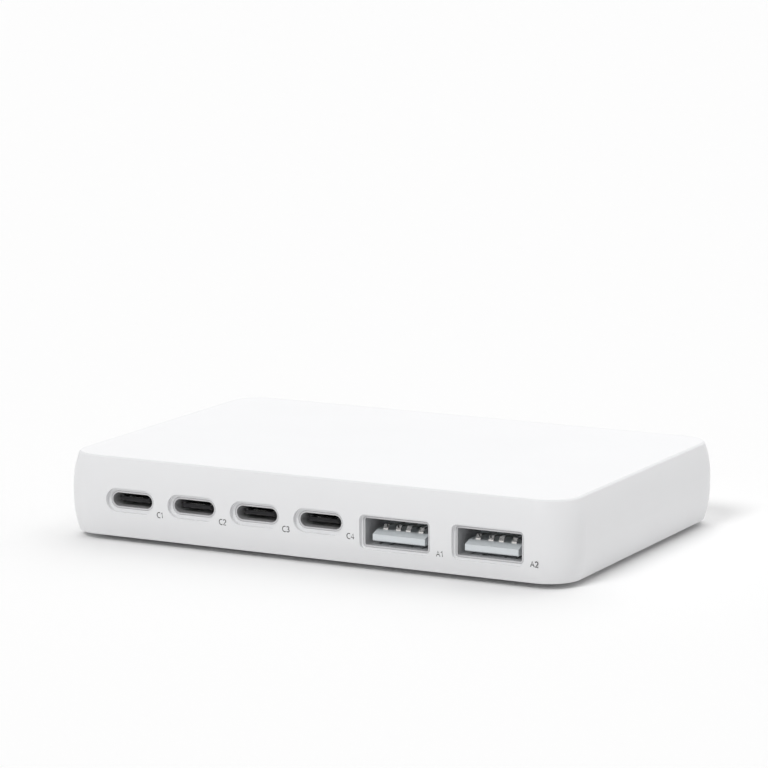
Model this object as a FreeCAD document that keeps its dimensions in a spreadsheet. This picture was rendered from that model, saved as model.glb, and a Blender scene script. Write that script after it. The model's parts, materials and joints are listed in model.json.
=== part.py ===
# Flat desktop charger with four USB-C and two USB-A ports and a mains inlet at the back.
# Millimetres: +X runs along the row of ports, the ports face -Y and +Z is up.
# The origin lies under the middle of the charger, on the surface that its feet stand on.
import FreeCAD, Part
import Sketcher
import math
import operator
import os
from types import SimpleNamespace

USB_C_COUNT = 4
USB_A_COUNT = 2
C_DATA_PINS = 6
BULK_CAPACITORS = 3
OUTPUT_CAPACITORS = 6
OUTPUT_ROWS = 2
OCTAGON_TURN = math.pi / 8

SIZES = {
    # Outer form: the plan outline is taken at mid-height, where the crowned sides stand widest
    "body_width": 103.8,
    "body_depth": 70.2,
    "corner_radius": 7.2,
    "side_bulge": 1.1,
    "flat_band": 2.4,
    "top_chamfer": 0.3,
    "wall": 2.4,
    "top_wall": 1.8,
    # Base cover: it seats on a ledge in the wall and snaps in with four hooks
    "base_thickness": 1.8,
    "base_ledge": 0.6,
    "base_clearance": 0.1,
    "hook_width": 8,
    "hook_spacing": 26,
    "hook_thickness": 1.1,
    "hook_reach": 0.7,
    "hook_catch": 2.4,
    "hook_height": 4.2,
    "hook_land": 0.4,
    "hook_clearance": 0.1,
    # Two rubber strips under the base cover are its feet
    "foot_gap": 1.1,
    "foot_length": 70,
    "foot_width": 6,
    "foot_bevel": 1.75,
    "foot_inset": 11,
    # Stack from the base cover to the top wall
    "under_port_room": 1.53,
    "board_thickness": 1.6,
    "over_board_room": 2.67,
    "spreader_thickness": 0.8,
    "sheet_thickness": 0.25,
    # Row of port windows
    "port_row_shift": 0.8,
    "c_gap": 2.84,
    "group_gap": 3.1,
    "a_gap": 4.26,
    "window_clearance": 0.06,
    "c_lip": 0.6,
    "a_lip": 0.4,
    "port_recess": 0.85,
    "mouth_setback": 0.92,
    # USB-C receptacle
    "c_shell_width": 8.94,
    "c_shell_height": 3.16,
    "c_shell_length": 8.4,
    "c_shell_thickness": 0.3,
    "c_standoff": 0.2,
    "c_leg_width": 1.1,
    "c_leg_setback": 4.6,
    "c_tongue_width": 6.69,
    "c_tongue_thickness": 0.7,
    "c_tongue_tip": 1,
    "c_tongue_corner": 0.45,
    "c_block_front": 5.4,
    "c_heel": 0.8,
    "c_pin_pitch": 0.5,
    "c_pin_end": 2.75,
    "c_pin_width": 0.26,
    "c_pin_thickness": 0.08,
    "c_pin_setback": 0.3,
    # USB-A receptacle, hung under the board with its tongue low
    "a_shell_width": 13.1,
    "a_shell_height": 5.5,
    "a_shell_length": 13.9,
    "a_shell_thickness": 0.3,
    "a_shell_corner": 0.6,
    "a_spring_offset": 3.2,
    "a_spring_width": 1.8,
    "a_spring_slot": 0.35,
    "a_spring_front": 1.6,
    "a_spring_length": 4.6,
    "a_spring_rise": 0.32,
    "a_tongue_width": 10.4,
    "a_tongue_thickness": 1.84,
    "a_tongue_drop": 0.88,
    "a_tongue_tip": 0.8,
    "a_tongue_slope": 0.6,
    "a_tongue_ramp": 1.8,
    "a_tongue_chamfer": 0.2,
    "a_block_front": 9.4,
    "a_pin_inner": 1,
    "a_pin_outer": 3.5,
    "a_pin_width": 0.95,
    "a_pin_thickness": 0.25,
    "a_pin_rise": 0.7,
    "a_pin_crest": 3.6,
    "a_pin_flat": 0.5,
    "a_pin_foot": 1.2,
    "fit_clearance": 0.04,
    # Mains inlet: a figure-8 socket in the back wall
    "inlet_width": 18.2,
    "inlet_height": 9.4,
    "inlet_corner": 2.4,
    "inlet_length": 14.5,
    "inlet_setback": 0.45,
    "inlet_clearance": 0.12,
    "inlet_ear": 2,
    "inlet_ear_thickness": 1.6,
    "socket_width": 15.9,
    "socket_height": 8.2,
    "socket_depth": 11,
    "pin_diameter": 2.36,
    "pin_spacing": 8.6,
    "pin_tip_round": 0.6,
    "pin_mouth_gap": 1.2,
    "pin_tail": 1.8,
    "tail_width": 1.6,
    "tail_thickness": 0.8,
    # Board, trapped between ribs of the housing and posts of the base cover
    "board_gap": 0.5,
    "notch_clearance": 0.4,
    "post_size": 3,
    "post_inset": 4.2,
    "spreader_gap": 1,
    # Components under and on the board
    "component_clearance": 1,
    "part_gap": 0.9,
    "transformer_shift": 2,
    "transformer_width": 25,
    "transformer_depth": 14,
    "transformer_plate": 1.2,
    "transformer_leg": 3.2,
    "transformer_post": 8,
    "winding_clearance": 0.15,
    "winding_overhang": 2.6,
    "bulk_length": 18,
    "output_cap_size": 6.3,
    "output_cap_chamfer": 0.9,
    "inductor_size": 7,
    "inductor_height": 4.8,
    "inductor_chamfer": 0.7,
    "chip_size": 5,
    "chip_height": 0.7,
    "power_chip_size": 8,
    "fuse_width": 4,
    "fuse_depth": 8.5,
    "fuse_height": 4.6,
    "choke_width": 13,
    "choke_depth": 13,
    "choke_limb": 3,
    "choke_core_height": 3.2,
    "choke_wire": 1.1,
    "choke_coil_length": 5.6,
    "film_cap_width": 6,
    "film_cap_depth": 13,
    "bridge_width": 9,
    "bridge_depth": 7,
    "bridge_height": 2.2,
    "safety_cap_width": 5,
    "safety_cap_depth": 7.4,
    "safety_cap_height": 2.6,
    "block_chamfer": 0.6,
    "pad_inset": 3,
}

OPERATIONS = {"+": operator.add, "-": operator.sub, "*": operator.mul, "/": operator.truediv}


class Size:
    """A length that keeps its number together with the expression that binds it to the sheet."""

    def __init__(self, text, value):
        self.text = text
        self.value = float(value)

    def __add__(self, other):
        return combine(self, "+", other)

    def __radd__(self, other):
        return combine(other, "+", self)

    def __sub__(self, other):
        return combine(self, "-", other)

    def __rsub__(self, other):
        return combine(other, "-", self)

    def __mul__(self, other):
        return combine(self, "*", other)

    def __rmul__(self, other):
        return combine(other, "*", self)

    def __truediv__(self, other):
        return combine(self, "/", other)

    def __neg__(self):
        return combine(0, "-", self)


def as_size(value):
    return value if isinstance(value, Size) else Size(str(value), value)


def combine(left, sign, right):
    left = as_size(left)
    right = as_size(right)
    return Size(f"({left.text} {sign} {right.text})", OPERATIONS[sign](left.value, right.value))


doc = FreeCAD.newDocument("Charger")
sheet = doc.addObject("Spreadsheet::Sheet", "Sizes")
for row, (alias, value) in enumerate(SIZES.items(), start=1):
    sheet.set(f"A{row}", alias)
    sheet.set(f"B{row}", str(value))
    sheet.setAlias(f"B{row}", alias)
doc.recompute()
d = SimpleNamespace(**{alias: Size(f"Sizes.{alias}", sheet.get(alias)) for alias in SIZES})
sub_parts = []

# Levels, planes and places that several pieces share
cavity_height = d.under_port_room + d.a_shell_height + d.board_thickness + d.over_board_room
body_height = d.base_thickness + cavity_height + d.top_wall
rim_z = d.foot_gap
floor_z = rim_z + d.base_thickness
usb_a_z = floor_z + d.under_port_room + d.a_shell_height / 2
board_bottom = floor_z + d.under_port_room + d.a_shell_height
board_top = board_bottom + d.board_thickness
usb_c_z = board_bottom - d.c_standoff - d.c_shell_height / 2
ceiling_z = floor_z + cavity_height
top_z = rim_z + body_height
inlet_z = floor_z + cavity_height / 2
half_depth = d.body_depth / 2
inner_half_depth = half_depth - d.wall
mouth_y = d.mouth_setback - half_depth

c_window = d.c_shell_width + 2 * d.window_clearance
a_window = d.a_shell_width + 2 * d.window_clearance
c_opening = c_window + 2 * d.c_lip
a_opening = a_window + 2 * d.a_lip
c_row = USB_C_COUNT * c_opening + (USB_C_COUNT - 1) * d.c_gap
a_row = USB_A_COUNT * a_opening + (USB_A_COUNT - 1) * d.a_gap
row_left = d.port_row_shift - (c_row + d.group_gap + a_row) / 2
c_places = [row_left + c_opening / 2 + n * (c_opening + d.c_gap) for n in range(USB_C_COUNT)]
a_left = row_left + c_row + d.group_gap
a_places = [a_left + a_opening / 2 + n * (a_opening + d.a_gap) for n in range(USB_A_COUNT)]

inner_half_width = d.body_width / 2 - d.wall
inner_corner = d.corner_radius - d.wall
board_half_width = inner_half_width - d.board_gap
board_half_depth = inner_half_depth - d.board_gap
ports_back = mouth_y + d.a_shell_length
post_x = board_half_width - d.post_inset
post_front_y = ports_back + d.part_gap + d.post_size / 2
post_back_y = board_half_depth - d.post_inset
post_places = [(side * post_x, y) for side in (-1, 1) for y in (post_front_y, post_back_y)]
inlet_face_y = half_depth - d.inlet_setback
notch_y = inlet_face_y - d.inlet_length - d.notch_clearance
notch_half_width = d.inlet_width / 2 + d.inlet_ear + d.notch_clearance
component_height = board_bottom - floor_z - d.component_clearance
transformer_side = d.transformer_width / 2 + d.part_gap


# Document helpers

def bind(thing, prop, size):
    thing.setExpression(prop, as_size(size).text)


def new_body(node):
    body = doc.addObject("PartDesign::Body", node)
    body.Label = node
    sub_parts.append(body)
    return body


def place(thing, x, y, z):
    for axis, size in (("x", x), ("y", y), ("z", z)):
        bind(thing, f"Placement.Base.{axis}", size)


def origin_feature(body, role):
    return next(item for item in body.Origin.OriginFeatures if item.Role == role)


def new_sketch(body, plane, at=(0, 0, 0)):
    """A sketch on one of the body's own planes, moved by `at` along its axes and its normal."""
    sketch = body.newObject("Sketcher::SketchObject", f"{body.Name}_sketch")
    sketch.AttachmentSupport = (origin_feature(body, plane), [""])
    sketch.MapMode = "FlatFace"
    for axis, size in zip("xyz", at):
        if isinstance(size, Size):
            bind(sketch, f"AttachmentOffset.Base.{axis}", size)
    return sketch


def facing_sketch(body, x, y, z):
    """A sketch in the plane of the port face: its normal points out of the front."""
    return new_sketch(body, "XZ_Plane", at=(x, z, -as_size(y)))


def vector(u, v):
    return FreeCAD.Vector(as_size(u).value, as_size(v).value, 0)


def dimension(sketch, kind, *where, size):
    index = sketch.addConstraint(Sketcher.Constraint(kind, *where, as_size(size).value))
    name = f"{kind}_{index}"
    sketch.renameConstraint(index, name)
    bind(sketch, f"Constraints.{name}", size)


def relate(sketch, kind, *where):
    sketch.addConstraint(Sketcher.Constraint(kind, *where))


def add_line(sketch, start, end):
    return sketch.addGeometry(Part.LineSegment(start, end))


def add_arc(sketch, centre, radius, first, last):
    circle = Part.Circle(centre, FreeCAD.Vector(0, 0, 1), radius)
    return sketch.addGeometry(Part.ArcOfCircle(circle, first, last))


def locate(sketch, geometry, point, u, v):
    """Dimension one point from the sketch's origin, or keep it on an axis where the size is 0."""
    for kind, size, axis in (("DistanceX", u, -2), ("DistanceY", v, -1)):
        if isinstance(size, Size):
            dimension(sketch, kind, -1, 1, geometry, point, size=size)
        else:
            relate(sketch, "PointOnObject", geometry, point, axis)


def polygon(sketch, corners):
    points = [vector(u, v) for u, v in corners]
    lines = [add_line(sketch, a, b) for a, b in zip(points, points[1:] + points[:1])]
    for line, following in zip(lines, lines[1:] + lines[:1]):
        relate(sketch, "Coincident", line, 2, following, 1)
    for line, (u, v) in zip(lines, corners):
        locate(sketch, line, 1, u, v)


def rectangle(sketch, left, bottom, right, top):
    polygon(sketch, [(left, bottom), (right, bottom), (right, top), (left, top)])


def centred_rectangle(sketch, width, height):
    rectangle(sketch, -width / 2, -height / 2, width / 2, height / 2)


def bevelled_rectangle(sketch, width, height, bevel):
    """A rectangle with its four corners cut off, centred on the sketch's origin."""
    u = width / 2
    v = height / 2
    near_u = u - bevel
    near_v = v - bevel
    polygon(sketch, [(-near_u, -v), (near_u, -v), (u, -near_v), (u, near_v),
                     (near_u, v), (-near_u, v), (-u, near_v), (-u, -near_v)])


def circle(sketch, u, v, diameter):
    radius = as_size(diameter).value / 2
    ring = sketch.addGeometry(Part.Circle(vector(u, v), FreeCAD.Vector(0, 0, 1), radius))
    locate(sketch, ring, 3, u, v)
    dimension(sketch, "Diameter", ring, size=diameter)


def rounded_rectangle(sketch, width, height, radius):
    """Straight sides joined by tangent corner arcs, centred on the sketch's origin."""
    u = width.value / 2
    v = height.value / 2
    r = as_size(radius).value
    sides = []
    for turn, (corner_u, corner_v) in enumerate(((1, -1), (1, 1), (-1, 1), (-1, -1))):
        centre = FreeCAD.Vector(corner_u * (u - r), corner_v * (v - r), 0)
        start = math.radians(90 * turn - 90)
        sides.append(add_arc(sketch, centre, r, start, start + math.pi / 2))
    ends = [sketch.Geometry[arc] for arc in sides]
    lines = [add_line(sketch, a.EndPoint, b.StartPoint) for a, b in zip(ends, ends[1:] + ends[:1])]
    for arc, line, following in zip(sides, lines, sides[1:] + sides[:1]):
        relate(sketch, "Tangent", arc, 2, line, 1)
        relate(sketch, "Tangent", line, 2, following, 1)
    for line, kind in zip(lines, ("Vertical", "Horizontal", "Vertical", "Horizontal")):
        relate(sketch, kind, line)
    for arc in sides[1:]:
        relate(sketch, "Equal", sides[0], arc)
    relate(sketch, "Symmetric", sides[0], 3, sides[2], 3, -1, 1)
    dimension(sketch, "DistanceX", lines[2], 1, lines[0], 1, size=width)
    dimension(sketch, "DistanceY", lines[3], 1, lines[1], 1, size=height)
    dimension(sketch, "Radius", sides[0], size=radius)


def slot(sketch, width, height):
    """A slot with round ends, centred on the sketch's origin."""
    r = height.value / 2
    u = width.value / 2 - r
    right = add_arc(sketch, FreeCAD.Vector(u, 0, 0), r, -math.pi / 2, math.pi / 2)
    left = add_arc(sketch, FreeCAD.Vector(-u, 0, 0), r, math.pi / 2, 3 * math.pi / 2)
    top = add_line(sketch, FreeCAD.Vector(u, r, 0), FreeCAD.Vector(-u, r, 0))
    bottom = add_line(sketch, FreeCAD.Vector(-u, -r, 0), FreeCAD.Vector(u, -r, 0))
    for first, second in ((right, top), (top, left), (left, bottom), (bottom, right)):
        relate(sketch, "Tangent", first, 2, second, 1)
    relate(sketch, "Horizontal", top)
    relate(sketch, "Symmetric", right, 3, left, 3, -1, 1)
    dimension(sketch, "DistanceX", left, 3, right, 3, size=width - height)
    dimension(sketch, "Radius", right, size=height / 2)


def extrude(body, kind, sketch, length, reverse=False, symmetric=False):
    feature = body.newObject(f"PartDesign::{kind}", f"{body.Name}_{kind.lower()}")
    feature.Profile = sketch
    bind(feature, "Length", length)
    feature.Reversed = reverse
    if symmetric:
        feature.SideType = "Symmetric"
    return feature


def pad(body, sketch, length, **options):
    return extrude(body, "Pad", sketch, length, **options)


def pocket(body, sketch, length, **options):
    return extrude(body, "Pocket", sketch, length, **options)


def revolve(body, sketch, angle=360):
    feature = body.newObject("PartDesign::Revolution", f"{body.Name}_revolution")
    feature.Profile = sketch
    feature.ReferenceAxis = (sketch, ["V_Axis"])
    bind(feature, "Angle", angle)
    return feature


# Housing: crowned wall, top panel, port windows, inlet window, board ribs and hook pockets

def draw_wall_section(sketch):
    """Section of the front wall: flat middle band, an arc above and below, ledge for the base."""
    face = -half_depth.value
    inner = face + d.wall.value
    lip = inner - d.base_ledge.value
    rim = rim_z.value
    top = top_z.value
    seat = floor_z.value
    bulge = face + d.side_bulge.value
    cut = d.top_chamfer.value
    mid = (rim + top) / 2
    half_band = d.flat_band.value / 2
    rise = mid - half_band - rim
    crown = (rise ** 2 + d.side_bulge.value ** 2) / (2 * d.side_bulge.value)
    sweep = math.asin(rise / crown)
    point = FreeCAD.Vector
    corners = [(bulge, rim), (lip, rim), (lip, seat), (inner, seat), (inner, top),
               (bulge + cut, top), (bulge, top - cut)]
    ends = [point(y, z, 0) for y, z in corners]
    lines = [add_line(sketch, a, b) for a, b in zip(ends, ends[1:])]
    rim_line, lip_line, seat_line, inner_line, top_line, edge_line = lines
    upper = add_arc(sketch, point(face + crown, mid + half_band, 0), crown, math.pi - sweep, math.pi)
    band = add_line(sketch, point(face, mid + half_band, 0), point(face, mid - half_band, 0))
    lower = add_arc(sketch, point(face + crown, mid - half_band, 0), crown, math.pi, math.pi + sweep)
    chain = lines + [upper]
    for first, second in zip(chain, chain[1:]):
        relate(sketch, "Coincident", first, 2, second, 1)
    relate(sketch, "Tangent", upper, 2, band, 1)
    relate(sketch, "Tangent", band, 2, lower, 1)
    relate(sketch, "Coincident", lower, 2, rim_line, 1)
    for line in (rim_line, seat_line, top_line):
        relate(sketch, "Horizontal", line)
    for line in (lip_line, inner_line, band):
        relate(sketch, "Vertical", line)
    dimension(sketch, "DistanceX", band, 1, -1, 1, size=half_depth)
    dimension(sketch, "DistanceY", -1, 1, rim_line, 1, size=rim_z)
    dimension(sketch, "DistanceY", rim_line, 1, top_line, 1, size=body_height)
    dimension(sketch, "DistanceY", band, 2, band, 1, size=d.flat_band)
    dimension(sketch, "DistanceY", rim_line, 1, band, 2, size=(body_height - d.flat_band) / 2)
    dimension(sketch, "DistanceX", band, 1, inner_line, 1, size=d.wall)
    dimension(sketch, "DistanceX", lip_line, 2, inner_line, 1, size=d.base_ledge)
    dimension(sketch, "DistanceY", lip_line, 1, lip_line, 2, size=d.base_thickness)
    dimension(sketch, "DistanceX", band, 1, rim_line, 1, size=d.side_bulge)
    dimension(sketch, "DistanceX", band, 1, edge_line, 2, size=d.side_bulge)
    dimension(sketch, "DistanceX", edge_line, 2, edge_line, 1, size=d.top_chamfer)
    dimension(sketch, "DistanceY", edge_line, 2, edge_line, 1, size=d.top_chamfer)


def draw_posts(sketch):
    """Four squares where the ribs and the posts meet the board."""
    half = d.post_size / 2
    for x, y in post_places:
        rectangle(sketch, x - half, y - half, x + half, y + half)


def make_housing():
    body = new_body("housing")
    path = new_sketch(body, "XY_Plane")
    rounded_rectangle(path, d.body_width, d.body_depth, d.corner_radius)
    section = new_sketch(body, "YZ_Plane")
    draw_wall_section(section)
    wall = body.newObject("PartDesign::AdditivePipe", "housing_wall")
    wall.Profile = section
    wall.Spine = (path, [])
    panel = new_sketch(body, "XY_Plane", at=(0, 0, ceiling_z))
    rounded_rectangle(panel, 2 * inner_half_width, 2 * inner_half_depth, inner_corner)
    pad(body, panel, d.top_wall)

    # Ribs that stop the board from above
    ribs = new_sketch(body, "XY_Plane", at=(0, 0, board_top))
    draw_posts(ribs)
    pad(body, ribs, d.over_board_room)

    # Pockets for the base cover's hooks, cut across both side walls at once
    hooks = new_sketch(body, "YZ_Plane")
    for side in (-1, 1):
        middle = side * d.hook_spacing / 2
        half = d.hook_width / 2 + d.hook_clearance
        rectangle(hooks, middle - half, floor_z + d.hook_catch - d.hook_clearance,
                  middle + half, floor_z + d.hook_height + d.hook_clearance)
    hook_room = d.hook_reach + d.hook_clearance
    pocket(body, hooks, 2 * (inner_half_width + hook_room), symmetric=True)

    inlet = facing_sketch(body, 0, half_depth, inlet_z)
    around = 2 * d.inlet_clearance
    rounded_rectangle(inlet, d.inlet_width + around, d.inlet_height + around,
                      d.inlet_corner + d.inlet_clearance)
    pocket(body, inlet, d.wall + d.inlet_clearance, reverse=True)

    # Port windows: each runs as deep as its receptacle, clear of any wall in the receptacle's way,
    # and has a shallow seat round it, where the front of a plug comes to rest
    depth = d.mouth_setback + d.window_clearance
    around = 2 * d.window_clearance
    for x in c_places:
        window = facing_sketch(body, x, -half_depth, usb_c_z)
        slot(window, c_window, d.c_shell_height + around)
        pocket(body, window, depth + d.c_shell_length)
        seat = facing_sketch(body, x, -half_depth, usb_c_z)
        slot(seat, c_opening, d.c_shell_height + around + 2 * d.c_lip)
        pocket(body, seat, d.port_recess)
    corner = d.a_shell_corner + d.window_clearance
    for x in a_places:
        window = facing_sketch(body, x, -half_depth, usb_a_z)
        rounded_rectangle(window, a_window, d.a_shell_height + around, corner)
        pocket(body, window, depth + d.a_shell_length)
        seat = facing_sketch(body, x, -half_depth, usb_a_z)
        rounded_rectangle(seat, a_opening, d.a_shell_height + around + 2 * d.a_lip, corner + d.a_lip)
        pocket(body, seat, d.port_recess)


# Base cover with its snap hooks and board posts, and the feet under it

def make_base_cover():
    body = new_body("base_cover")
    plate = new_sketch(body, "XY_Plane", at=(0, 0, rim_z))
    inset = d.wall - d.base_ledge + d.base_clearance
    rounded_rectangle(plate, d.body_width - 2 * inset, d.body_depth - 2 * inset,
                      d.corner_radius - inset)
    pad(body, plate, d.base_thickness)
    outer = inner_half_width - d.hook_clearance
    inner = outer - d.hook_thickness
    nose = inner_half_width + d.hook_reach
    root = floor_z - d.base_thickness / 2
    catch = floor_z + d.hook_catch
    tip = floor_z + d.hook_height
    for row_side in (-1, 1):
        hooks = facing_sketch(body, 0, row_side * d.hook_spacing / 2, 0)
        for side in (-1, 1):
            outline = [(inner, root), (outer, root), (outer, catch), (nose, catch),
                       (nose, catch + d.hook_land), (outer, tip), (inner, tip)]
            polygon(hooks, [(side * x, z) for x, z in outline])
        pad(body, hooks, d.hook_width, symmetric=True)
    posts = new_sketch(body, "XY_Plane", at=(0, 0, floor_z))
    draw_posts(posts)
    pad(body, posts, board_bottom - floor_z)


def make_feet():
    for name, side in (("front_foot", -1), ("back_foot", 1)):
        body = new_body(name)
        outline = new_sketch(body, "XY_Plane")
        bevelled_rectangle(outline, d.foot_length, d.foot_width, d.foot_bevel)
        pad(body, outline, d.foot_gap)
        place(body, 0, side * (half_depth - d.foot_inset), 0)


# USB-C receptacles: each is drawn about the middle of its own mouth

def make_usb_c(number, x):
    inner_width = d.c_shell_width - 2 * d.c_shell_thickness
    inner_height = d.c_shell_height - 2 * d.c_shell_thickness
    to_board = board_bottom - usb_c_z

    shell = new_body(f"usb_c_shell_{number}")
    tube = facing_sketch(shell, 0, 0, 0)
    slot(tube, d.c_shell_width, d.c_shell_height)
    slot(tube, inner_width, inner_height)
    pad(shell, tube, d.c_shell_length, reverse=True)
    legs = facing_sketch(shell, 0, d.c_leg_setback, 0)
    half = d.c_shell_width / 2
    rectangle(legs, half - d.c_shell_thickness, 0, half, to_board)
    rectangle(legs, -half, 0, d.c_shell_thickness - half, to_board)
    pad(shell, legs, d.c_leg_width, reverse=True)

    tongue = new_body(f"usb_c_tongue_{number}")
    # The block's ends are half octagons that fit inside the round ends of the shell
    end_radius = inner_height / 2 - d.fit_clearance
    flat = end_radius * math.cos(OCTAGON_TURN)
    bevel = flat - end_radius * math.sin(OCTAGON_TURN)
    block = facing_sketch(tongue, 0, d.c_block_front, 0)
    bevelled_rectangle(block, inner_width - inner_height + 2 * flat, 2 * flat, bevel)
    pad(tongue, block, d.c_shell_length + d.fit_clearance - d.c_block_front, reverse=True)
    heel = facing_sketch(tongue, 0, d.c_shell_length + d.fit_clearance, 0)
    rectangle(heel, -d.c_shell_width / 2, -d.c_shell_height / 2, d.c_shell_width / 2, to_board)
    pad(tongue, heel, d.c_heel, reverse=True)
    blade = new_sketch(tongue, "XY_Plane")
    half = d.c_tongue_width / 2
    tip = d.c_tongue_tip
    corner = d.c_tongue_corner
    polygon(blade, [(corner - half, tip), (half - corner, tip), (half, tip + corner),
                    (half, d.c_block_front), (-half, d.c_block_front), (-half, tip + corner)])
    pad(tongue, blade, d.c_tongue_thickness, symmetric=True)

    contacts = new_body(f"usb_c_contacts_{number}")
    contacts.AllowCompound = True
    inner_pins = [(n - (C_DATA_PINS - 1) / 2) * d.c_pin_pitch for n in range(C_DATA_PINS)]
    start = d.c_tongue_tip + d.c_pin_setback
    strips = facing_sketch(contacts, 0, start, 0)
    half = d.c_pin_width / 2
    for middle in [-d.c_pin_end] + inner_pins + [d.c_pin_end]:
        for side in (-1, 1):
            near = side * d.c_tongue_thickness / 2
            rectangle(strips, middle - half, near, middle + half, near + side * d.c_pin_thickness)
    pad(contacts, strips, d.c_block_front - start, reverse=True)
    for body in (shell, tongue, contacts):
        place(body, x, mouth_y, usb_c_z)


# USB-A receptacles: shell with spring fingers, tongue with four sprung contacts

def add_springs(shell):
    """Windows in the shell's top and bottom, each with a finger that is bent inwards."""
    front = d.a_spring_front
    back = front + d.a_spring_length
    outside = d.a_shell_height / 2
    inside = outside - d.a_shell_thickness
    windows = new_sketch(shell, "XY_Plane")
    half = d.a_spring_width / 2 + d.a_spring_slot
    for side in (-1, 1):
        middle = side * d.a_spring_offset
        rectangle(windows, middle - half, front, middle + half, back + d.a_spring_slot)
    pocket(shell, windows, d.a_shell_height + d.a_shell_thickness, symmetric=True)
    for side in (-1, 1):
        fingers = new_sketch(shell, "YZ_Plane", at=(0, 0, side * d.a_spring_offset))
        for level in (-1, 1):
            bent = [(front, outside), (front, inside), (back, inside - d.a_spring_rise),
                    (back, outside - d.a_spring_rise)]
            polygon(fingers, [(y, level * z) for y, z in bent])
        pad(shell, fingers, d.a_spring_width, symmetric=True)


def make_usb_a(number, x):
    inner_width = d.a_shell_width - 2 * d.a_shell_thickness
    inner_height = d.a_shell_height - 2 * d.a_shell_thickness
    bend = d.a_shell_corner - d.a_shell_thickness

    shell = new_body(f"usb_a_shell_{number}")
    tube = facing_sketch(shell, 0, 0, 0)
    rounded_rectangle(tube, d.a_shell_width, d.a_shell_height, d.a_shell_corner)
    rounded_rectangle(tube, inner_width, inner_height, bend)
    pad(shell, tube, d.a_shell_length, reverse=True)
    add_springs(shell)

    top = d.a_tongue_thickness / 2 - d.a_tongue_drop
    bottom = top - d.a_tongue_thickness
    tip = d.a_tongue_tip
    bevel = d.a_tongue_chamfer
    root = d.a_block_front
    tongue = new_body(f"usb_a_tongue_{number}")
    blade = new_sketch(tongue, "YZ_Plane")
    polygon(blade, [(tip, bottom + bevel), (tip + bevel, bottom), (root, bottom), (root, top),
                    (tip + d.a_tongue_ramp, top), (tip, top - d.a_tongue_slope)])
    pad(tongue, blade, d.a_tongue_width, symmetric=True)
    block = facing_sketch(tongue, 0, root, 0)
    bevelled_rectangle(block, inner_width - 2 * d.fit_clearance,
                       inner_height - 2 * d.fit_clearance, bend)
    pad(tongue, block, d.a_shell_length - root, reverse=True)

    contacts = new_body(f"usb_a_contacts_{number}")
    contacts.AllowCompound = True
    crest = d.a_pin_crest
    under = [(root, 0), (root - d.a_pin_foot, 0), (crest + d.a_pin_flat, d.a_pin_rise),
             (crest - d.a_pin_flat, d.a_pin_rise), (tip + d.a_tongue_ramp, 0)]
    lower = [(y, top + z) for y, z in under]
    upper = [(y, z + d.a_pin_thickness) for y, z in lower]
    for offset in (d.a_pin_inner, d.a_pin_outer):
        for side in (-1, 1):
            strip = new_sketch(contacts, "YZ_Plane", at=(0, 0, side * offset))
            polygon(strip, lower + upper[::-1])
            pad(contacts, strip, d.a_pin_width, symmetric=True)
    for body in (shell, tongue, contacts):
        place(body, x, mouth_y, usb_a_z)


# Mains inlet: it is drawn about the middle of its own face, which looks out of the back

def make_inlet():
    body = new_body("inlet_body")
    nose = facing_sketch(body, 0, 0, 0)
    rounded_rectangle(nose, d.inlet_width, d.inlet_height, d.inlet_corner)
    pad(body, nose, d.inlet_length)
    ears = facing_sketch(body, 0, d.inlet_setback - d.wall, 0)
    centred_rectangle(ears, d.inlet_width + 2 * d.inlet_ear, d.inlet_height - 2 * d.inlet_corner)
    pad(body, ears, d.inlet_ear_thickness)
    socket = facing_sketch(body, 0, 0, 0)
    slot(socket, d.socket_width, d.socket_height)
    pocket(body, socket, d.socket_depth, reverse=True)
    shank_room = d.tail_width + 2 * d.fit_clearance
    bores = facing_sketch(body, 0, -d.socket_depth, 0)
    for side in (-1, 1):
        left = side * d.pin_spacing / 2 - shank_room / 2
        rectangle(bores, left, -shank_room / 2, left + shank_room, shank_room / 2)
    pocket(body, bores, d.inlet_length - d.socket_depth, reverse=True)

    pins = new_body("inlet_pins")
    pins.AllowCompound = True
    radius = d.pin_diameter / 2
    half = d.tail_width / 2
    front = -d.pin_mouth_gap
    back = -d.inlet_length - d.pin_tail
    for side in (-1, 1):
        middle = side * d.pin_spacing / 2
        profile = new_sketch(pins, "XY_Plane", at=(middle, 0, 0))
        polygon(profile, [(0, -d.socket_depth), (radius, -d.socket_depth),
                          (radius, front - d.pin_tip_round), (radius - d.pin_tip_round, front),
                          (0, front)])
        revolve(pins, profile)
        shank = facing_sketch(pins, middle, -d.socket_depth, 0)
        centred_rectangle(shank, d.tail_width, d.tail_width)
        pad(pins, shank, d.inlet_length - d.socket_depth + d.pin_tail)
        tail = facing_sketch(pins, middle, back, 0)
        rectangle(tail, -half, -half, half, board_bottom - inlet_z)
        pad(pins, tail, d.tail_thickness, reverse=True)
    for part in (body, pins):
        place(part, 0, inlet_face_y, inlet_z)


# Board, and what lies above and below it

def make_board():
    body = new_body("main_board")
    outline = new_sketch(body, "XY_Plane", at=(0, 0, board_bottom))
    bevelled_rectangle(outline, 2 * board_half_width, 2 * board_half_depth, inner_corner)
    pad(body, outline, d.board_thickness)
    notch = new_sketch(body, "XY_Plane", at=(0, 0, board_bottom))
    rectangle(notch, -notch_half_width, notch_y, notch_half_width, inner_half_depth)
    pocket(body, notch, d.board_thickness, reverse=True)


def make_plate(node, left, front, right, back, bottom, thickness):
    body = new_body(node)
    outline = new_sketch(body, "XY_Plane", at=(0, 0, bottom))
    rectangle(outline, left, front, right, back)
    pad(body, outline, thickness)


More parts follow.
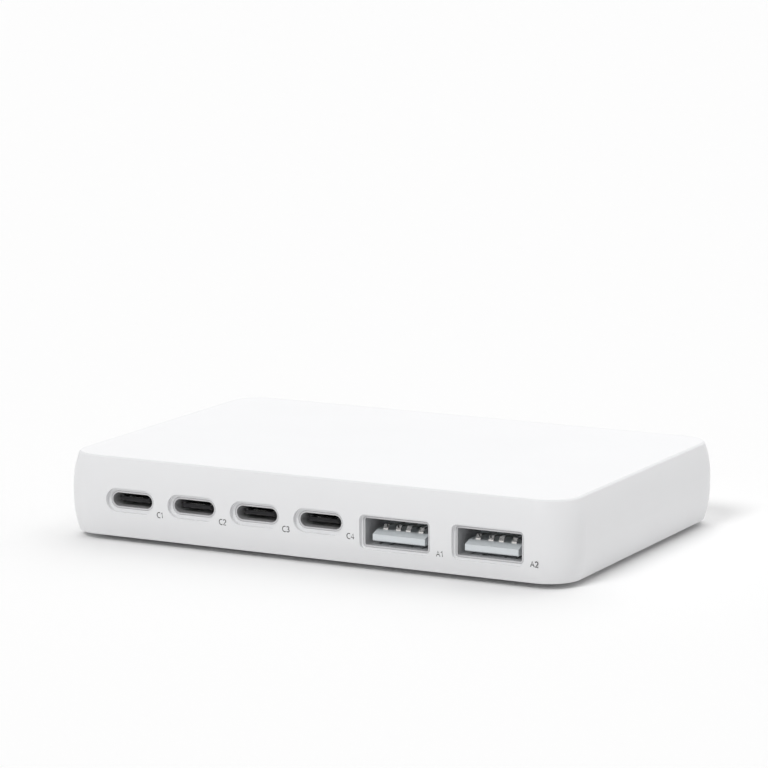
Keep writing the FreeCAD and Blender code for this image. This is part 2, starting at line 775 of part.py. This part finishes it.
def make_heat_path():
    """Spreader against the top wall, and the soft pad between it and the power chips."""
    half = post_x - d.post_size / 2 - d.spreader_gap
    front = d.spreader_gap - inner_half_depth
    back = notch_y - d.spreader_gap
    spreader_bottom = ceiling_z - d.spreader_thickness
    make_plate("heat_spreader", -half, front, half, back, spreader_bottom, d.spreader_thickness)
    chip_top = board_top + d.chip_height
    inset = d.pad_inset
    make_plate("thermal_pad", inset - half, front + inset, half - inset, back - inset,
               chip_top, spreader_bottom - chip_top)


def make_insulation_sheet():
    body = new_body("insulation_sheet")
    outline = new_sketch(body, "XY_Plane", at=(0, 0, floor_z))
    width = 2 * post_x - d.post_size - 2 * d.board_gap
    bevelled_rectangle(outline, width, 2 * board_half_depth, inner_corner)
    pad(body, outline, d.sheet_thickness)


# Components: all of them hang under the board, apart from the two power chips on top of it

def make_block(node, x, y, width, depth, height, bevel=None, top=board_bottom):
    """A moulded component with its face against the board."""
    body = new_body(node)
    outline = new_sketch(body, "XY_Plane")
    if bevel:
        bevelled_rectangle(outline, width, depth, bevel)
    else:
        centred_rectangle(outline, width, depth)
    pad(body, outline, height)
    place(body, x, y, top - height)


def make_output_stage():
    """Port regulators behind the receptacles, and the output capacitors beside the transformer."""
    size = d.inductor_size
    pitch = size + d.chip_size + 2 * d.part_gap
    row_y = ports_back + 2 * d.part_gap + size / 2
    for n in range(USB_C_COUNT):
        x = (n - (USB_C_COUNT - 1) / 2) * pitch
        make_block(f"buck_inductor_{n + 1}", x, row_y, size, size, d.inductor_height,
                   d.inductor_chamfer)
    for n in range(USB_C_COUNT - 1):
        x = (n - (USB_C_COUNT - 2) / 2) * pitch
        make_block(f"port_controller_{n + 1}", x, row_y, d.chip_size, d.chip_size, d.chip_height)
    size = d.output_cap_size
    step = size + d.part_gap
    for n in range(OUTPUT_CAPACITORS):
        column, row = divmod(n, OUTPUT_ROWS)
        x = transformer_side + size / 2 + column * step
        y = d.transformer_shift + (row - (OUTPUT_ROWS - 1) / 2) * step
        make_block(f"output_capacitor_{n + 1}", x, y, size, size, component_height,
                   d.output_cap_chamfer)


def make_transformer():
    """Flat E-core: two windows hold the winding, which shows in front of and behind the core."""
    half_width = d.transformer_width / 2
    post = d.transformer_post / 2
    half_core = d.transformer_depth / 2
    core = new_body("transformer_core")
    face = facing_sketch(core, 0, half_core, 0)
    centred_rectangle(face, d.transformer_width, component_height)
    opening_half = component_height / 2 - d.transformer_plate
    for side in (-1, 1):
        near = side * post
        far = side * (half_width - d.transformer_leg)
        rectangle(face, near, -opening_half, far, opening_half)
    pad(core, face, d.transformer_depth)
    winding = new_body("transformer_winding")
    ring = new_sketch(winding, "XY_Plane")
    gap = d.winding_clearance
    outer_half = half_width - d.transformer_leg - gap
    overhang = d.winding_overhang
    bevelled_rectangle(ring, 2 * outer_half, d.transformer_depth + 2 * overhang, overhang)
    centred_rectangle(ring, d.transformer_post + 2 * gap, d.transformer_depth + 2 * gap)
    pad(winding, ring, 2 * (opening_half - gap), symmetric=True)
    for body in (core, winding):
        place(body, 0, d.transformer_shift, board_bottom - component_height / 2)


def make_bulk_capacitor(node, x, y):
    """An electrolytic can that lies along Y against the board."""
    body = new_body(node)
    outline = facing_sketch(body, 0, 0, 0)
    circle(outline, 0, 0, component_height)
    pad(body, outline, d.bulk_length, symmetric=True)
    place(body, x, y, board_bottom - component_height / 2)


def make_power_stage():
    for n in range(BULK_CAPACITORS):
        x = -(transformer_side + component_height / 2 + n * (component_height + d.part_gap))
        make_bulk_capacitor(f"bulk_capacitor_{n + 1}", x, d.transformer_shift)
    size = d.power_chip_size
    chip_x = transformer_side + size / 2
    chip_top = board_top + d.chip_height
    for node, side in (("power_switch", -1), ("rectifier_switch", 1)):
        make_block(node, side * chip_x, d.transformer_shift, size, size, d.chip_height, top=chip_top)


def make_choke(x, y):
    """Square ring core with a coil wound round each of its two long limbs."""
    limb = d.choke_limb
    gap = d.winding_clearance
    core = new_body("choke_core")
    ring = new_sketch(core, "XY_Plane")
    coil_room = d.choke_wire + gap
    width = d.choke_width - 2 * coil_room
    centred_rectangle(ring, width, d.choke_depth)
    centred_rectangle(ring, width - 2 * limb, d.choke_depth - 2 * limb)
    pad(core, ring, d.choke_core_height, symmetric=True)
    windings = new_body("choke_windings")
    windings.AllowCompound = True
    section = facing_sketch(windings, 0, 0, 0)
    half_inside = d.choke_core_height / 2 + gap
    half_outside = half_inside + d.choke_wire
    for side in (-1, 1):
        middle = side * (width - limb) / 2
        for half_width, half_height in ((limb / 2 + coil_room, half_outside),
                                        (limb / 2 + gap, half_inside)):
            rectangle(section, middle - half_width, -half_height, middle + half_width, half_height)
    pad(windings, section, d.choke_coil_length, symmetric=True)
    for body in (core, windings):
        place(body, x, y, board_bottom - half_outside)


def make_mains_stage():
    """Mains parts in a row beside the inlet: fuse, choke and film capacitor, then the bridge."""
    row_y = board_half_depth - d.part_gap - d.choke_depth / 2
    edge = notch_half_width + d.part_gap
    make_block("fuse", -(edge + d.fuse_width / 2), row_y, d.fuse_width, d.fuse_depth,
               d.fuse_height, d.block_chamfer)
    edge_choke = edge + d.fuse_width + d.part_gap
    make_choke(-(edge_choke + d.choke_width / 2), row_y)
    edge_film = edge_choke + d.choke_width + d.part_gap
    make_block("film_capacitor", -(edge_film + d.film_cap_width / 2), row_y, d.film_cap_width,
               d.film_cap_depth, component_height, d.block_chamfer)
    make_block("bridge_rectifier", edge + d.bridge_width / 2, row_y, d.bridge_width,
               d.bridge_depth, d.bridge_height, d.block_chamfer)
    edge_cap = edge + d.bridge_width + d.part_gap
    make_block("safety_capacitor", edge_cap + d.safety_cap_width / 2, row_y, d.safety_cap_width,
               d.safety_cap_depth, d.safety_cap_height, d.block_chamfer)


def write_parts():
    """Check the whole document, then write one file for each sub-part."""
    doc.recompute()
    for item in doc.Objects:
        if "Invalid" in item.State or "Error" in item.State:
            raise RuntimeError(f"{item.Name} failed: {item.State}")
    for part in sub_parts:
        if part.Shape.isNull() or not part.Shape.isValid():
            raise RuntimeError(f"{part.Label} has no valid shape")
    os.makedirs("parts", exist_ok=True)
    for part in sub_parts:
        part.Shape.exportStep(f"parts/{part.Label}.step")


make_housing()
make_base_cover()
make_feet()
for index, place_x in enumerate(c_places, start=1):
    make_usb_c(index, place_x)
for index, place_x in enumerate(a_places, start=1):
    make_usb_a(index, place_x)
make_inlet()
make_board()
make_heat_path()
make_insulation_sheet()
make_output_stage()
make_transformer()
make_power_stage()
make_mains_stage()
write_parts()
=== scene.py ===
# Looks of a flat white desktop charger: finishes for every piece, port lettering, studio and camera.
# Metres, in the frame of the model: ports face -Y, +Z is up, the feet stand on z = 0.
import json
import math

import bpy
from mathutils import Matrix, Vector


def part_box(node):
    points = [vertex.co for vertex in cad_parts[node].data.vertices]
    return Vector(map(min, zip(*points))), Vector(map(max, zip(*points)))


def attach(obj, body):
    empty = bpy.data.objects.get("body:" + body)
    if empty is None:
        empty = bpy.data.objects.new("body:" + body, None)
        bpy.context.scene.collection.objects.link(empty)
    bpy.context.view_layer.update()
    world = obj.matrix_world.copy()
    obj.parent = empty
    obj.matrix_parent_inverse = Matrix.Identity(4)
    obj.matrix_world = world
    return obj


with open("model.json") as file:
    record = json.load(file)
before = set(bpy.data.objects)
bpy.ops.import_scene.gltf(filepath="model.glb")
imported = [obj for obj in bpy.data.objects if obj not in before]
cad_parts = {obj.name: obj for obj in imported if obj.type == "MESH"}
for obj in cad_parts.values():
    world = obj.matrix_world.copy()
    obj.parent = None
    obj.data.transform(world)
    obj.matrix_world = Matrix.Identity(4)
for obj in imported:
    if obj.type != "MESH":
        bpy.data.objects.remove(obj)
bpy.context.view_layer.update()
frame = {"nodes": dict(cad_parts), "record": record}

MM = 0.001

# Outer form, as the housing has it
BODY_LOW, BODY_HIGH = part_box("housing")
HALF_DEPTH = BODY_HIGH.y
MID_Z = (BODY_LOW.z + BODY_HIGH.z) / 2
FLAT_BAND = 2.4 * MM
SIDE_BULGE = 1.1 * MM
CROWN_RISE = (BODY_HIGH.z - BODY_LOW.z - FLAT_BAND) / 2
CROWN_RADIUS = (CROWN_RISE ** 2 + SIDE_BULGE ** 2) / (2 * SIDE_BULGE)

# Camera: where the photograph was taken from, aimed at a point given along the picture's own axes
VIEW_AZIMUTH = math.radians(27.240)
VIEW_ELEVATION = math.radians(9.844)
VIEW_DISTANCE = 678.855 * MM
AIM_RIGHT = -1.890 * MM
AIM_UP = 26.065 * MM
SENSOR_WIDTH = 36.0
PICTURE_WIDTH = 768
FOCAL_PIXELS = 3609

# Studio: the floor and the sky look white to the eye, and light the object less than white ones would
FLOOR_SIZE = 12.0
FLOOR_SEEN = 1.0
FLOOR_BOUNCE = 0.92
WORLD_SEEN = 1.0
WORLD_STRENGTH = 0.36

# Lamps: strength, width of the light in degrees and the side that it comes from
LAMPS = {
    "front": (1.2, 20, Vector((-0.15, -1.0, 1.0))),
    "right": (0.4, 60, Vector((1.0, 0.4, 0.9))),
    "back": (1.1, 70, Vector((-0.1, 0.8, 1.0))),
}

# Port lettering: a label stands to the right of its window, whose edge lies a little beyond the shell
C_PORTS = 4
A_PORTS = 2
LABEL_HEIGHT = 1.0 * MM
LABEL_STROKE = 0.18 * MM
LABEL_THICKNESS = 0.02 * MM
C_LABEL_GAP = 0.6 * MM
A_LABEL_GAP = 1.2 * MM
C_LABEL_BASE = BODY_LOW.z + 4.57 * MM
A_LABEL_BASE = BODY_LOW.z + 3.1 * MM
C_WINDOW_EDGE = 0.66 * MM
A_WINDOW_EDGE = 0.46 * MM
INK_COLOR = (0.09, 0.09, 0.095)


# Material helpers

def shaded(color, factor):
    return tuple(min(1.0, channel * factor) for channel in color)


class Finish:
    """A Principled surface with helpers that add noise in object space to its inputs."""

    def __init__(self, name, color, roughness, metallic=0.0, specular=0.5):
        self.material = bpy.data.materials.new(name)
        self.material.use_nodes = True
        self.tree = self.material.node_tree
        self.shader = self.tree.nodes["Principled BSDF"]
        self.shader.inputs["Metallic"].default_value = metallic
        self.shader.inputs["Base Color"].default_value = (*color, 1)
        self.shader.inputs["Roughness"].default_value = roughness
        self.shader.inputs["Specular IOR Level"].default_value = specular
        self.color = color
        self.roughness = roughness
        self.coordinates = self.tree.nodes.new("ShaderNodeTexCoord").outputs["Object"]

    def link(self, source, target):
        self.tree.links.new(source, target)

    def noise(self, scale, detail=3.0, stretch=(1, 1, 1)):
        mapping = self.tree.nodes.new("ShaderNodeMapping")
        mapping.inputs["Scale"].default_value = stretch
        self.link(self.coordinates, mapping.inputs["Vector"])
        texture = self.tree.nodes.new("ShaderNodeTexNoise")
        texture.inputs["Scale"].default_value = scale
        texture.inputs["Detail"].default_value = detail
        self.link(mapping.outputs["Vector"], texture.inputs["Vector"])
        return texture.outputs["Fac"]

    def waves(self, scale, axis):
        texture = self.tree.nodes.new("ShaderNodeTexWave")
        texture.bands_direction = axis
        texture.inputs["Scale"].default_value = scale
        self.link(self.coordinates, texture.inputs["Vector"])
        return texture.outputs["Fac"]

    def tone(self, pattern, low, high):
        """Base colour between two shades of the finish's colour."""
        ramp = self.tree.nodes.new("ShaderNodeValToRGB")
        for element, factor in zip(ramp.color_ramp.elements, (low, high)):
            element.color = (*shaded(self.color, factor), 1)
        self.link(pattern, ramp.inputs["Fac"])
        self.link(ramp.outputs["Color"], self.shader.inputs["Base Color"])

    def gloss(self, pattern, spread):
        """Roughness a little above and below the finish's own."""
        span = self.tree.nodes.new("ShaderNodeMapRange")
        span.inputs["To Min"].default_value = self.roughness - spread
        span.inputs["To Max"].default_value = self.roughness + spread
        self.link(pattern, span.inputs["Value"])
        self.link(span.outputs["Result"], self.shader.inputs["Roughness"])

    def relief(self, pattern, depth, strength=1.0):
        bump = self.tree.nodes.new("ShaderNodeBump")
        bump.inputs["Strength"].default_value = strength
        bump.inputs["Distance"].default_value = depth
        self.link(pattern, bump.inputs["Height"])
        self.link(bump.outputs["Normal"], self.shader.inputs["Normal"])


# Finishes

def moulded(name, color, roughness, grain=9000, depth=0.004 * MM, specular=0.5):
    """Moulded plastic or rubber: faint drift of tone and a fine even grain."""
    finish = Finish(name, color, roughness, specular=specular)
    finish.tone(finish.noise(scale=60), low=0.985, high=1.015)
    finish.gloss(finish.noise(scale=grain / 4), spread=0.05)
    finish.relief(finish.noise(scale=grain), depth)
    return finish.material


def sheet_metal(name, color, roughness, metallic=1.0):
    """Rolled or drawn metal: fine lines along one direction and faint stains."""
    finish = Finish(name, color, roughness, metallic)
    lines = finish.noise(scale=2500, detail=2.0, stretch=(1, 12, 12))
    finish.tone(finish.noise(scale=350), low=0.90, high=1.05)
    finish.gloss(lines, spread=0.08)
    finish.relief(lines, depth=0.002 * MM, strength=0.5)
    return finish.material


def winding(name, color, turn):
    """Enamelled wire laid in turns, with painted shade in the grooves between turns and painted
    highlight on their crests.
    """
    finish = Finish(name, color, roughness=0.3, metallic=0.9)
    turns = finish.waves(scale=1 / turn, axis="Z")
    # painted shade and highlight: the tone follows the relief's waves, darker in the grooves between
    # turns and lighter on their crests
    finish.tone(turns, low=0.6, high=1.1)
    finish.gloss(finish.noise(scale=900), spread=0.06)
    finish.relief(turns, depth=0.1 * MM)
    return finish.material


def laminate(name, color):
    """Solder mask over copper: tracks show as a lighter green."""
    finish = Finish(name, color, roughness=0.38)
    tracks = finish.noise(scale=420, detail=0.0, stretch=(1, 0.2, 1))
    finish.tone(tracks, low=0.75, high=1.35)
    finish.gloss(finish.noise(scale=3000), spread=0.06)
    finish.relief(tracks, depth=0.03 * MM)
    return finish.material


def sintered(name, color):
    """Ferrite: dark, granular and slightly uneven."""
    finish = Finish(name, color, roughness=0.55)
    finish.tone(finish.noise(scale=2500, detail=6.0), low=0.7, high=1.4)
    finish.gloss(finish.noise(scale=1500), spread=0.1)
    finish.relief(finish.noise(scale=4000, detail=6.0), depth=0.02 * MM)
    return finish.material


# One finish for each material slot of the record
FINISHES = {
    "shell_plastic": (moulded, {"roughness": 0.42}),
    "foot_rubber": (moulded, {"roughness": 0.75, "grain": 5000, "depth": 0.01 * MM}),
    "receptacle_steel": (sheet_metal, {"roughness": 0.5, "metallic": 0.6}),
    "black_insulator": (moulded, {"roughness": 0.7, "specular": 0.25}),
    "pale_insulator": (moulded, {"roughness": 0.45}),
    "contact_plating": (sheet_metal, {"roughness": 0.1}),
    "inlet_plastic": (moulded, {"roughness": 0.45}),
    "pin_plating": (sheet_metal, {"roughness": 0.18}),
    "board_laminate": (laminate, {}),
    "spreader_aluminium": (sheet_metal, {"roughness": 0.34}),
    "pad_silicone": (moulded, {"roughness": 0.7}),
    "sheet_film": (moulded, {"roughness": 0.45}),
    "ferrite": (sintered, {}),
    "copper_winding": (winding, {"turn": 0.35 * MM}),
    "can_aluminium": (sheet_metal, {"roughness": 0.3}),
    "can_sleeve": (moulded, {"roughness": 0.25}),
    "chip_epoxy": (moulded, {"roughness": 0.45}),
    "film_case": (moulded, {"roughness": 0.28}),
    "capacitor_lacquer": (moulded, {"roughness": 0.22}),
    "fuse_ceramic": (moulded, {"roughness": 0.2}),
}


def dress_nodes():
    """Give every CAD node the finish of its material slot, in the record's colour."""
    materials = {}
    for row in frame["record"]["materials"]:
        build, options = FINISHES[row["slot"]]
        materials[row["slot"]] = build(row["slot"], tuple(row["base_color"]), **options)
    for row in frame["record"]["subparts"]:
        slots = frame["nodes"][row["node"]].data.materials
        slots.clear()
        slots.append(materials[row["material_slot"]])


# Port lettering

def face_y(z):
    """Where the front face lies at a height: flat in the middle, an arc above and below."""
    beyond = max(0.0, abs(z - MID_Z) - FLAT_BAND / 2)
    inset = CROWN_RADIUS - math.sqrt(CROWN_RADIUS ** 2 - beyond ** 2)
    return inset - HALF_DEPTH


def arc(center, radii, start, end, steps=10):
    """Points on an ellipse from one angle in degrees to another."""
    points = []
    for step in range(steps + 1):
        angle = math.radians(start + (end - start) * step / steps)
        points.append((center[0] + radii[0] * math.cos(angle), center[1] + radii[1] * math.sin(angle)))
    return points


# Letters as strokes in units of their height: the width, then each stroke's points
STROKES = {
    "A": (0.70, [[(0, 0), (0.35, 1), (0.70, 0)], [(0.13, 0.36), (0.57, 0.36)]]),
    "C": (0.62, [arc((0.44, 0.5), (0.44, 0.5), 62, 298)]),
    "1": (0.26, [[(0, 0.76), (0.26, 1), (0.26, 0)]]),
    "2": (0.54, [arc((0.26, 0.72), (0.26, 0.28), 160, -40) + [(0, 0), (0.54, 0)]]),
    "3": (0.52, [arc((0.24, 0.75), (0.24, 0.25), 150, -90), arc((0.24, 0.26), (0.28, 0.26), 90, -150)]),
    "4": (0.60, [[(0.44, 0), (0.44, 1), (0, 0.28), (0.60, 0.28)]]),
}
LETTER_GAP = 0.22


def draw_strokes(text):
    """Mesh of a word in the plane z = 0, its strokes round in section and its left end at x = 0."""
    curve = bpy.data.curves.new(f"label_{text}", "CURVE")
    curve.dimensions = "3D"
    curve.bevel_depth = LABEL_STROKE / 2
    curve.bevel_resolution = 2
    curve.use_fill_caps = True
    pen = 0.0
    for letter in text:
        width, strokes = STROKES[letter]
        for stroke in strokes:
            spline = curve.splines.new("POLY")
            spline.points.add(len(stroke) - 1)
            for point, (x, height) in zip(spline.points, stroke):
                point.co = ((pen + x) * LABEL_HEIGHT, height * LABEL_HEIGHT, 0, 1)
        pen += width + LETTER_GAP
    drawn = bpy.data.objects.new(f"strokes_{text}", curve)
    bpy.context.scene.collection.objects.link(drawn)
    bpy.context.view_layer.update()
    evaluated = drawn.evaluated_get(bpy.context.evaluated_depsgraph_get())
    mesh = bpy.data.meshes.new_from_object(evaluated)
    bpy.data.objects.remove(drawn)
    return mesh


def add_label(text, left, base, finish):
    """Thin print that follows the front face: the strokes of a word, flattened onto it."""
    mesh = draw_strokes(text)
    for vertex in mesh.vertices:
        x, height, raised = vertex.co
        z = base + height
        vertex.co = (left + x, face_y(z) - raised * LABEL_THICKNESS / LABEL_STROKE, z)
    mesh.materials.clear()
    mesh.materials.append(finish)
    label = bpy.data.objects.new(f"port_label_{text}", mesh)
    bpy.context.scene.collection.objects.link(label)
    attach(label, "root")


def add_labels():
    ink = moulded("port_print", INK_COLOR, roughness=0.6, grain=12000, depth=0.002 * MM)
    for number in range(1, C_PORTS + 1):
        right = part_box(f"usb_c_shell_{number}")[1].x + C_WINDOW_EDGE
        add_label(f"C{number}", right + C_LABEL_GAP, C_LABEL_BASE, ink)
    for number in range(1, A_PORTS + 1):
        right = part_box(f"usb_a_shell_{number}")[1].x + A_WINDOW_EDGE
        add_label(f"A{number}", right + A_LABEL_GAP, A_LABEL_BASE, ink)


# Studio and camera

def seen_directly(tree):
    """1 for rays from the camera and for those that a mirror or glass sends on, 0 for light."""
    path = tree.nodes.new("ShaderNodeLightPath")
    total = path.outputs["Is Camera Ray"]
    for name in ("Is Glossy Ray", "Is Transmission Ray"):
        larger = tree.nodes.new("ShaderNodeMath")
        larger.operation = "MAXIMUM"
        tree.links.new(total, larger.inputs[0])
        tree.links.new(path.outputs[name], larger.inputs[1])
        total = larger.outputs["Value"]
    return total


def between(tree, lit, seen):
    """A value that is one thing to the light that falls on the object and another to the eye."""
    span = tree.nodes.new("ShaderNodeMapRange")
    span.inputs["To Min"].default_value = lit
    span.inputs["To Max"].default_value = seen
    tree.links.new(seen_directly(tree), span.inputs["Value"])
    return span.outputs["Result"]


def make_world():
    world = bpy.data.worlds.new("studio")
    bpy.context.scene.world = world
    world.use_nodes = True
    tree = world.node_tree
    background = tree.nodes["Background"]
    background.inputs["Color"].default_value = (1, 1, 1, 1)
    tree.links.new(between(tree, WORLD_STRENGTH, WORLD_SEEN), background.inputs["Strength"])


def make_floor():
    mesh = bpy.data.meshes.new("floor")
    half = FLOOR_SIZE / 2
    corners = [(-half, -half, 0), (half, -half, 0), (half, half, 0), (-half, half, 0)]
    mesh.from_pydata(corners, [], [(0, 1, 2, 3)])
    floor = bpy.data.objects.new("floor", mesh)
    bpy.context.scene.collection.objects.link(floor)
    material = bpy.data.materials.new("floor")
    material.use_nodes = True
    tree = material.node_tree
    surface = tree.nodes["Principled BSDF"]
    surface.inputs["Roughness"].default_value = 1.0
    surface.inputs["Specular IOR Level"].default_value = 0.0
    shade = between(tree, FLOOR_BOUNCE, FLOOR_SEEN)
    tree.links.new(shade, surface.inputs["Base Color"])
    mesh.materials.append(material)


def add_lamps():
    for name, (strength, width, side) in LAMPS.items():
        light = bpy.data.lights.new(name, "SUN")
        light.energy = strength
        light.angle = math.radians(width)
        lamp = bpy.data.objects.new(name, light)
        lamp.rotation_mode = "QUATERNION"
        lamp.rotation_quaternion = side.to_track_quat("Z", "Y")
        bpy.context.scene.collection.objects.link(lamp)


def make_camera():
    level = math.cos(VIEW_ELEVATION)
    away = math.cos(VIEW_AZIMUTH)
    aside = math.sin(VIEW_AZIMUTH)
    back = Vector((aside * level, -away * level, math.sin(VIEW_ELEVATION)))
    right = Vector((away, aside, 0))
    up = back.cross(right)
    aim = Vector((0, 0, BODY_LOW.z)) + right * AIM_RIGHT + up * AIM_UP
    data = bpy.data.cameras.new("camera")
    data.sensor_width = SENSOR_WIDTH
    data.lens = FOCAL_PIXELS * SENSOR_WIDTH / PICTURE_WIDTH
    camera = bpy.data.objects.new("camera", data)
    turned = Matrix((right, up, back)).transposed().to_4x4()
    camera.matrix_world = Matrix.Translation(aim + back * VIEW_DISTANCE) @ turned
    bpy.context.scene.collection.objects.link(camera)
    bpy.context.scene.camera = camera


dress_nodes()
add_labels()
make_world()
make_floor()
add_lamps()
make_camera()
bpy.context.scene.view_settings.view_transform = "Standard"
